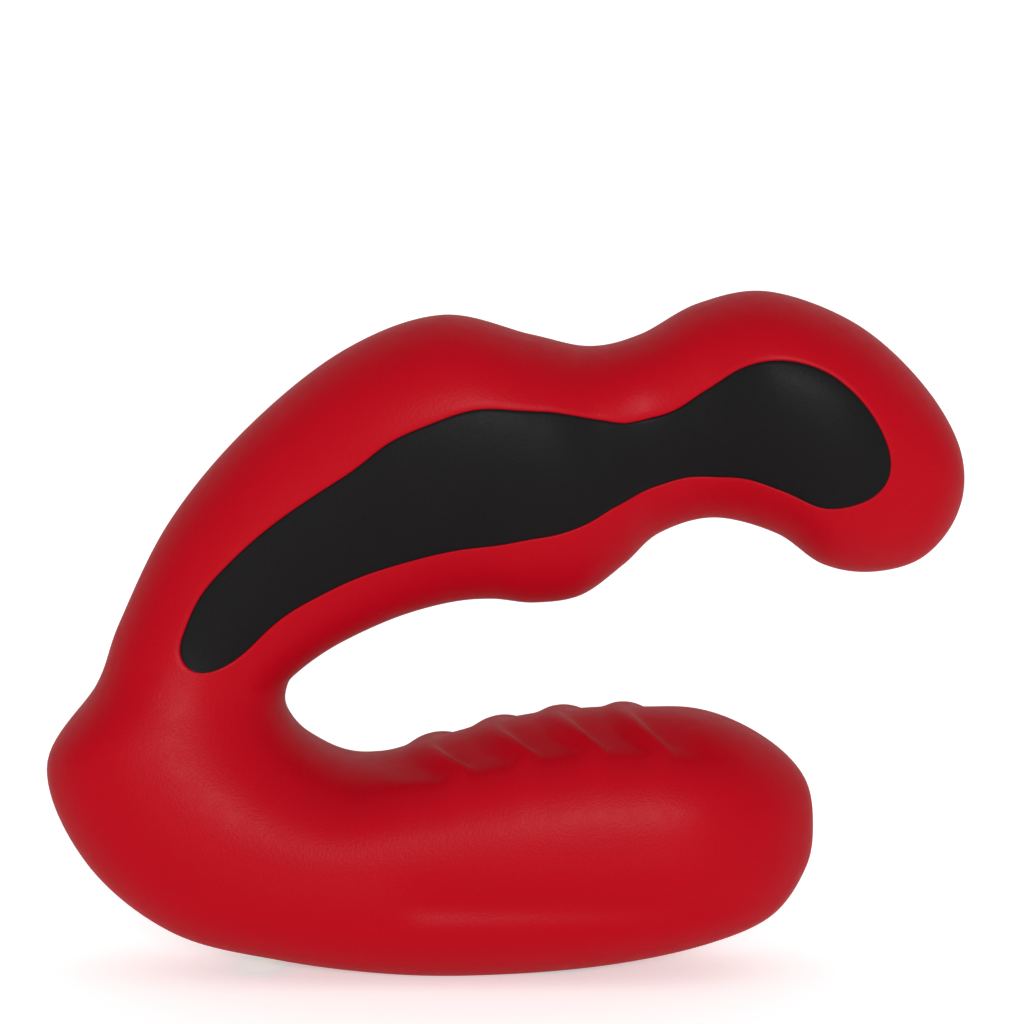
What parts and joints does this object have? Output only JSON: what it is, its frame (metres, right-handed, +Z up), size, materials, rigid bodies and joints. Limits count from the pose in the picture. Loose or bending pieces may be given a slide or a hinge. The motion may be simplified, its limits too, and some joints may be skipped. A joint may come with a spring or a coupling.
{
  "type": "two-motor massager",
  "caption": "C-shaped soft silicone personal massager: broad ridged lower arm, bending neck, curved bulbed upper arm with an inlaid side band.",
  "frame": {"origin": "middle of the object's bounding box seen from above, at the height of the small flat it rests on", "axes": "+X along the lower arm towards the free ends of both arms, +Y across the arms, +Z up from the rest flat"},
  "size_m": [0.1179, 0.0362, 0.0876],
  "materials": {
    "red_silicone": "matte",
    "black_silicone": "matte",
    "housing_plastic": "matte",
    "button_plastic": "matte",
    "screw_steel": "brushed",
    "seal_rubber": "matte",
    "cell_foil": "satin",
    "tab_nickel": "satin",
    "pad_foam": "matte",
    "board_green": "satin",
    "chip_black": "matte",
    "white_plastic": "matte",
    "lamp_clear": "gloss",
    "contact_gold": "polished",
    "motor_steel": "brushed",
    "weight_metal": "matte",
    "lead_red": "satin",
    "core_soft": "matte",
    "core_stiff": "matte"
  },
  "bodies": {
    "base": {"base_skin": "red_silicone", "neck_skin": "red_silicone", "base_shell_lower": "housing_plastic", "base_shell_upper": "housing_plastic", "shell_screws": "screw_steel", "shell_seal": "seal_rubber", "battery_cell": "cell_foil", "battery_tabs": "tab_nickel", "battery_pad": "pad_foam", "circuit_board": "board_green", "board_chips": "chip_black", "switch_body": "chip_black", "indicator_led": "lamp_clear", "light_guide": "lamp_clear", "charge_contacts": "contact_gold", "charge_magnets": "tab_nickel", "base_motor_can": "motor_steel", "base_motor_cap": "white_plastic", "base_motor_sleeve": "seal_rubber", "base_leads": "lead_red", "neck_core": "core_soft", "neck_leads": "lead_red"},
    "button": {"power_button": "button_plastic"},
    "plunger": {"switch_plunger": "white_plastic"},
    "base_rotor": {"base_motor_shaft": "screw_steel", "base_motor_weight": "weight_metal"},
    "arm": {"arm_skin": "red_silicone", "inlay_near": "black_silicone", "inlay_far": "black_silicone", "arm_core": "core_stiff", "capsule_body": "housing_plastic", "capsule_cap": "housing_plastic", "capsule_seal": "seal_rubber", "head_motor_can": "motor_steel", "head_motor_cap": "white_plastic", "head_motor_sleeve": "seal_rubber", "arm_leads": "lead_red"},
    "head_rotor": {"head_motor_shaft": "screw_steel", "head_motor_weight": "weight_metal"}
  },
  "joints": [
    {"name": "neck_flex", "type": "hinge", "parent": "base", "child": "arm", "pos_m": [-0.0415, 0, 0.0325], "axis": [0, -1, 0], "range_deg": [-8, 12], "stiffness_Nm_per_rad": 2, "deforming": ["neck_skin", "neck_core", "neck_leads"]},
    {"name": "button_press", "type": "slide", "parent": "base", "child": "button", "axis": [-0.0593, 0, 0.9982], "range_m": [0, 0.00035], "stiffness_N_per_m": 1500},
    {"name": "plunger_press", "type": "slide", "parent": "base", "child": "plunger", "axis": [-0.0593, 0, 0.9982], "range_m": [0, 0.00035]},
    {"name": "base_weight_spin", "type": "hinge", "parent": "base", "child": "base_rotor", "pos_m": [0.019, 0, 0.01739], "axis": [0.9982, 0, 0.0593], "continuous": true},
    {"name": "head_weight_spin", "type": "hinge", "parent": "arm", "child": "head_rotor", "pos_m": [0.0355, 0, 0.069], "axis": [0.9759, 0, -0.2181], "continuous": true}
  ],
  "couplings": [
    {"joint": "plunger_press", "follows": "button_press", "ratio": 1}
  ]
}
